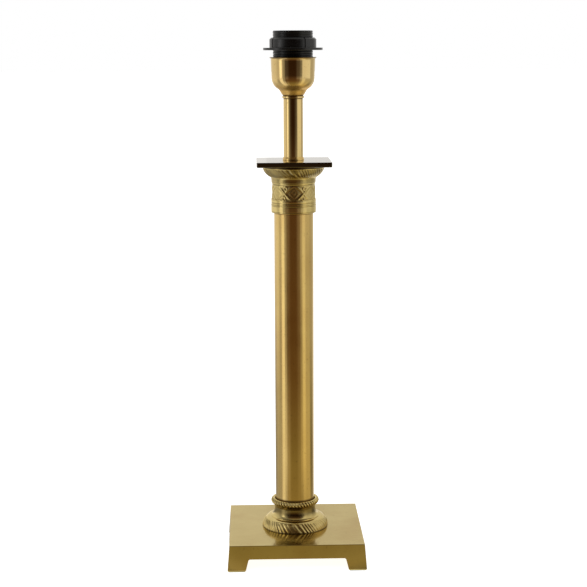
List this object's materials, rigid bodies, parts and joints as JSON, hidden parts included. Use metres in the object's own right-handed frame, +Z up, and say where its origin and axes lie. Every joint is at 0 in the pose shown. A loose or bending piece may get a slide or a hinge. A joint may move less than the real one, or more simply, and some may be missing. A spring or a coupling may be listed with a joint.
{
  "type": "column table lamp",
  "caption": "Column table lamp: square footed base, plain round column with leaf mouldings, square top plate and a screw lampholder with a shade ring in a turned cup.",
  "frame": {"origin": "on the table, under the middle of the square base", "axes": "+Z up along the column; the front of the lamp, as pictured, faces -Y; +X to the right of the front"},
  "size_m": [0.1404, 0.1404, 0.5369],
  "materials": {
    "aged_brass": "satin, lacquered and unevenly aged",
    "cast_brass": "cast and aged, darker in the hollows",
    "dark_bronze": "blackened and glossy",
    "plated_steel": "zinc plated",
    "contact_brass": "bright",
    "black_moulding": "moulded, a little shiny",
    "black_bush": "moulded",
    "white_insert": "moulded, heat resistant",
    "dark_felt": "felt"
  },
  "bodies": {
    "lamp": {"base_plate": "cast_brass", "felt_pads": "dark_felt", "threaded_tube": "plated_steel", "inlet_bush": "black_bush", "base_washer": "plated_steel", "base_lock_washer": "plated_steel", "plate_washer": "plated_steel", "hex_nuts": "plated_steel", "column_foot": "cast_brass", "column_tube": "aged_brass", "centring_discs": "plated_steel", "capital": "cast_brass", "top_plate": "dark_bronze", "stem_tube": "aged_brass", "stem_ring": "aged_brass", "neck_ring": "aged_brass", "socket_cup": "aged_brass", "holder_cap": "black_moulding", "entry_bush": "plated_steel", "set_screw": "plated_steel", "holder_barrel": "black_moulding", "holder_insert": "white_insert", "screw_shell": "contact_brass", "contact_base": "contact_brass", "contact_rivets": "contact_brass", "terminal_blocks": "contact_brass", "terminal_screws": "plated_steel"},
    "shade_ring": {"shade_ring": "black_moulding"},
    "centre_contact": {"centre_contact": "contact_brass"}
  },
  "joints": [
    {"name": "shade_ring_travel", "type": "slide", "parent": "lamp", "child": "shade_ring", "axis": [0, 0, 1], "range_m": [-0.0065, 0.0192]},
    {"name": "centre_contact_press", "type": "hinge", "parent": "lamp", "child": "centre_contact", "pos_m": [-0.00395, 0, 0.5037], "axis": [0, 1, 0], "range_deg": [0, 16], "stiffness_Nm_per_rad": 0.14}
  ]
}
